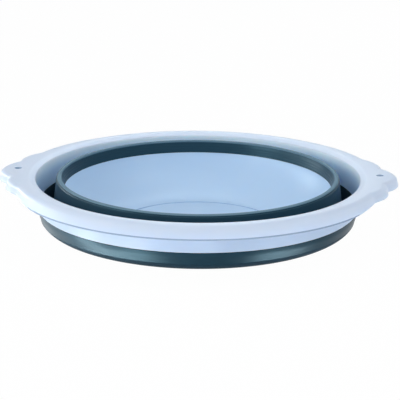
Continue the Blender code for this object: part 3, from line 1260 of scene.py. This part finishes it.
@dataclass
class BowlPan(TurnedPiece):
    """Stiff pan: the concave bowl, its flat disc with a crisp edge and the foot ring below."""

    FINISHES = (PAN_SKIN, DISC_STEP_PAINTED_SHADE)
    wall: float = 2.4 * MILLIMETRE
    disc_recess: float = 0.9 * MILLIMETRE
    disc_edge_width: float = 0.4 * MILLIMETRE
    disc_edge_round: float = 0.2 * MILLIMETRE
    disc_radius: float = 77.2 * MILLIMETRE
    foot_height: float = 1.2 * MILLIMETRE
    foot_inset: float = 1.2 * MILLIMETRE
    foot_width: float = 4.5 * MILLIMETRE
    foot_round: float = 0.6 * MILLIMETRE
    gate_radius: float = 2.6 * MILLIMETRE
    gate_depth: float = 0.5 * MILLIMETRE
    gate_nub_radius: float = 1.1 * MILLIMETRE
    bowl_points: int = 48
    points_over_foot: int = 2
    top_pull: float = 0.50
    bottom_pull: float = 0.42

    @property
    def disc_top(self) -> float:
        """Height of the flat disc."""
        return self.foot_height + self.wall

    def bowl(self) -> list[Vector]:
        """Work out the bowl's inner face.

        Returns:
            Points as (radius, 0, height), from the disc's edge up to the pan's upper edge.
        """
        lay = self.layout
        low = Vector((self.disc_radius, 0.0, self.disc_top + self.disc_recess))
        high = Vector((lay.pan_edge, 0.0, lay.pan_top))
        span = high - low
        low_pull = low + Vector((span.x * self.bottom_pull, 0.0, 0.0))
        drop = span.z * self.top_pull
        high_pull = high - Vector((drop * lay.inner_slope, 0.0, drop))
        return interpolate_bezier(low, low_pull, high_pull, high, self.bowl_points)

    def outside(self, inner: list[Vector]) -> list[Vector]:
        """Shift the bowl's face out by the wall's thickness.

        Args:
            inner: The inner face's points.

        Returns:
            The outer face's points, in the same order.
        """
        shifted = []
        for index, point in enumerate(inner):
            along = inner[min(index + 1, len(inner) - 1)] - inner[max(index - 1, 0)]
            along.normalize()
            shifted.append(point + Vector((along.z, 0.0, -along.x)) * self.wall)
        return shifted

    def crisp(self, radius: float, height: float) -> Corner:
        """Corner with the small rounding of the disc's and the gate's edges."""
        return Corner(radius, height, self.disc_edge_round, Arc.SMALL)

    def section(self) -> Section:
        """Lay out the pan's section.

        Returns:
            The outline, from the axis out along the underside and back along the inside.
        """
        lay = self.layout
        inner = self.bowl()
        outer = self.outside(inner)
        base = self.foot_height
        foot_outside = self.disc_radius - self.foot_inset
        foot_inside = foot_outside - self.foot_width
        foot = ((foot_inside, base), (foot_inside, 0.0), (foot_outside, 0.0), (foot_outside, base))
        middle = lay.pan_edge + lay.crest_radius
        tongue_drift = lay.inner_slope * lay.lap_length
        tongue_top = lay.pan_top + lay.lap_length
        half = lay.lap_thickness / 2
        gate_floor = base + self.gate_depth
        nub_foot = base + self.disc_edge_round
        return Section([
            Corner(0.0, nub_foot),
            self.crisp(self.gate_nub_radius, nub_foot),
            Corner(self.gate_nub_radius, gate_floor),
            self.crisp(self.gate_radius, gate_floor),
            self.crisp(self.gate_radius, base),
            *[Corner(*corner, self.foot_round, Arc.EDGE) for corner in foot],
            *[Corner(point.x, point.z) for point in outer[self.points_over_foot:-1]],
            lay.seam(lay.pan_reach, lay.pan_top),
            Corner(middle + half, lay.pan_top),
            Corner(middle + half + tongue_drift, tongue_top),
            Corner(middle - half + tongue_drift, tongue_top),
            Corner(middle - half, lay.pan_top),
            lay.seam(inner[-1].x, inner[-1].z),
            *[Corner(point.x, point.z) for point in reversed(inner[1:-1])],
            self.crisp(inner[0].x, inner[0].z),
            self.crisp(self.disc_radius - self.disc_edge_width, self.disc_top),
            Corner(0.0, self.disc_top),
        ], on_axis=True)

    def finish_of(self, face: bpy.types.MeshPolygon) -> MouldedFinish:
        """Choose one face's finish: painted shade on the step round the disc, or the skin's."""
        reach = math.hypot(face.center.x, face.center.y)
        on_step = self.disc_radius - self.disc_edge_width < reach < self.disc_radius
        upward = face.normal.z > 0 and face.center.z > self.foot_height
        return DISC_STEP_PAINTED_SHADE if on_step and upward else PAN_SKIN

    def build(self) -> None:
        """Make and dress the pan."""
        pan = finish_mesh("bowl_pan", self.section().spin(self.steps))
        self.dress(pan)
        hand_over(pan, Body.BASE, "base_pan")


@dataclass(frozen=True)
class SoftBox:
    """One square studio lamp that points at the basin.

    Args:
        name: The lamp's name.
        azimuth: Degrees round the basin from the camera's side, positive to the right.
        elevation: Degrees above the basin's middle, negative for one below the floor.
        power: Its power in watts.
    """

    DISTANCE: ClassVar[float] = 1.5
    SIDE: ClassVar[float] = 0.6
    SIDE_BELOW: ClassVar[float] = 0.4

    name: str
    azimuth: float
    elevation: float
    power: float

    def place(self, target: Vector, use: Use) -> None:
        """Put the lamp up.

        Args:
            target: The point that it faces.
            use: Whether it lights the colour or shows as a highlight.
        """
        data = bpy.data.lights.new(self.name, "AREA")
        data.shape = "SQUARE"
        data.size = self.SIDE if self.elevation > 0 else self.SIDE_BELOW
        data.energy = self.power
        data.color = WARM_WHITE if use is Use.BODY_LIGHT else COOL_WHITE
        lamp = bpy.data.objects.new(self.name, data)
        lamp.visible_glossy = use is Use.HIGHLIGHT
        lamp.visible_diffuse = use is Use.BODY_LIGHT
        around = math.radians(self.azimuth)
        up = math.radians(self.elevation)
        level = self.DISTANCE * math.cos(up)
        height = self.DISTANCE * math.sin(up)
        away = Vector((level * math.sin(around), -level * math.cos(around), height))
        lamp.location = target + away
        lamp.rotation_euler = away.to_track_quat("Z", "Y").to_euler()
        bpy.context.scene.collection.objects.link(lamp)


@dataclass
class Studio:
    """White floor, white surroundings and soft lamps round the basin."""

    floor_size: float = 12.0
    floor_paint: Colour = (0.80, 0.80, 0.80)
    floor_veil: float = 0.985
    ambient: Colour = (0.27, 0.34, 0.46)
    backdrop_white: float = 1.0
    body_lights: tuple[SoftBox, ...] = (
        SoftBox("left_low_box", -90.0, 10.0, 4.7),
        SoftBox("front_left_low_box", -30.0, 10.0, 3.1),
        SoftBox("left_high_box", -60.0, 33.0, 5.2),
        SoftBox("left_top_box", -60.0, 57.0, 3.0),
        SoftBox("back_right_low_box", 150.0, 10.0, 3.0),
        SoftBox("front_right_high_box", 60.0, 57.0, 5.2),
        SoftBox("right_low_box", 90.0, 10.0, 1.9),
        SoftBox("right_front_box", 60.0, 33.0, 2.2),
        SoftBox("front_high_box", 0.0, 33.0, 1.1),
        SoftBox("back_left_under_box", -140.0, -27.0, 1.5),
        SoftBox("front_under_box", 0.0, -27.0, 4.4),
        SoftBox("right_front_under_box", 60.0, -27.0, 4.0),
    )
    highlights: tuple[SoftBox, ...] = (
        SoftBox("back_left_low_card", -120.0, 10.0, 24.0),
        SoftBox("back_left_under_card", -135.0, -27.0, 0.8),
        SoftBox("left_back_under_card", -110.0, -27.0, 1.8),
        SoftBox("overhead_card", 0.0, 88.0, 9.0),
        SoftBox("back_high_card", 180.0, 57.0, 12.0),
        SoftBox("back_low_card", 180.0, 33.0, 7.0),
        SoftBox("right_high_card", 90.0, 57.0, 9.0),
        SoftBox("front_left_low_card", -60.0, 10.0, 26.3),
        SoftBox("left_under_card", -80.0, -27.0, 20.8),
        SoftBox("front_under_card", -40.0, -42.0, 22.1),
        SoftBox("front_right_under_card", 60.0, -42.0, 19.5),
        SoftBox("left_low_card", -90.0, 10.0, 19.5),
        SoftBox("front_left_under_card", -60.0, -42.0, 19.0),
        SoftBox("left_deep_under_card", -80.0, -42.0, 15.6),
        SoftBox("front_under_near_card", -40.0, -27.0, 14.0),
        SoftBox("right_under_card", 80.0, -42.0, 10.9),
    )

    def white_rays(self, sheet: NodeSheet) -> bpy.types.NodeSocket:
        """Tell the rays that should see plain white from those that carry light.

        Args:
            sheet: The tree that the nodes go into.

        Returns:
            A socket that is 1 for camera, glossy and transmission rays.
        """
        path = sheet.add("ShaderNodeLightPath").outputs
        seen = sheet.sum("MAXIMUM", path["Is Camera Ray"], path["Is Glossy Ray"])
        return sheet.sum("MAXIMUM", seen, path["Is Transmission Ray"])

    def floor_material(self) -> bpy.types.Material:
        """Build the floor's material: white to look at, matt to light, and clear from below.

        Returns:
            The material.
        """
        material = bpy.data.materials.new("studio_floor_paint")
        material.use_nodes = True
        tree = material.node_tree
        tree.nodes.remove(tree.nodes["Principled BSDF"])
        sheet = NodeSheet(tree)
        matt = sheet.add("ShaderNodeBsdfDiffuse", {"Color": opaque(self.floor_paint)})
        glow = sheet.add("ShaderNodeEmission", {"Strength": self.backdrop_white})
        veil = sheet.add("ShaderNodeMixShader", {
            "Fac": sheet.sum("MULTIPLY", self.white_rays(sheet), self.floor_veil),
            1: matt.outputs[0],
            2: glow.outputs[0],
        })
        sides = sheet.add("ShaderNodeMixShader", {
            "Fac": sheet.add("ShaderNodeNewGeometry").outputs["Backfacing"],
            1: veil.outputs[0],
            2: sheet.add("ShaderNodeBsdfTransparent").outputs[0],
        })
        sheet.feed(tree.nodes["Material Output"], {"Surface": sides.outputs[0]})
        return material

    def floor(self) -> None:
        """Lay the floor under the basin."""
        shape = bmesh.new()
        bmesh.ops.create_grid(shape, x_segments=1, y_segments=1, size=self.floor_size / 2)
        ground = finish_mesh("studio_floor", shape)
        ground.modifiers.clear()
        ground.data.materials.append(self.floor_material())
        ground.visible_shadow = False
        ground.visible_glossy = False

    def surroundings(self) -> None:
        """Fill the world with white to look at and an even soft light."""
        world = bpy.data.worlds.new("studio_surroundings")
        bpy.context.scene.world = world
        world.use_nodes = True
        sheet = NodeSheet(world.node_tree)
        light = sheet.add("ShaderNodeMix", {
            "Factor": self.white_rays(sheet), "A": opaque(self.ambient), "B": opaque(WHITE),
        }, data_type="RGBA")
        sheet.feed(world.node_tree.nodes["Background"], {
            "Strength": self.backdrop_white, "Color": light.outputs["Result"],
        })

    def build(self, target: Vector) -> None:
        """Put the studio up.

        Args:
            target: The point that the lamps face.
        """
        self.floor()
        self.surroundings()
        for use, boxes in ((Use.BODY_LIGHT, self.body_lights), (Use.HIGHLIGHT, self.highlights)):
            for box in boxes:
                box.place(target, use)
        bpy.context.scene.view_settings.view_transform = "Standard"


@dataclass(frozen=True)
class Viewpoint:
    """Where the photograph was taken from, worked out from the rings of the rim.

    The picture is square, 400 pixels a side. The basin's axis meets the lip's plane at the
    pixel (axis_column, axis_row).
    """

    picture_side: float = 400.0
    axis_column: float = 198.0
    axis_row: float = 173.7
    pixel: float = 0.93 * MILLIMETRE
    distance_in_pixels: float = 1300.0
    elevation: float = math.radians(16.68)
    roll: float = math.radians(0.51)
    around: float = math.radians(2.6)
    sensor: float = 36.0

    def place(self, aim: Vector) -> None:
        """Put the scene's camera up.

        Args:
            aim: The point on the axis in the lip's plane.
        """
        rise, tip = math.sin(self.elevation), math.cos(self.elevation)
        swing, upright = math.sin(self.roll), math.cos(self.roll)
        right = Vector((upright, swing * rise, swing * tip))
        up = Vector((-swing, upright * rise, upright * tip))
        back = Vector((0.0, -tip, rise))
        middle = self.picture_side / 2
        aside = (self.axis_column - middle) * self.pixel
        above = (middle - self.axis_row) * self.pixel
        away = self.distance_in_pixels * self.pixel
        location = aim - right * aside - up * above + back * away
        turn = Matrix.Rotation(self.around, 4, "Z")
        axes = Matrix((right, up, back)).transposed().to_4x4()
        data = bpy.data.cameras.new("product_camera")
        data.sensor_width = self.sensor
        data.lens = self.sensor * self.distance_in_pixels / self.picture_side
        camera = bpy.data.objects.new("product_camera", data)
        camera.matrix_world = turn @ Matrix.Translation(location) @ axes
        bpy.context.scene.collection.objects.link(camera)
        bpy.context.scene.camera = camera


def main() -> None:
    """Build the basin, the studio and the camera."""
    logging.basicConfig(level=logging.INFO, format="%(name)s: %(message)s")
    layout = Layout()
    aim = Vector((0.0, 0.0, layout.lip_height))
    Viewpoint().place(aim)
    Studio().build(aim)
    for part in (RimRing, OuterWallBand, FoldWall, InnerWallBand, BowlPan):
        part(layout).build()


if __name__ == "__main__":
    main()
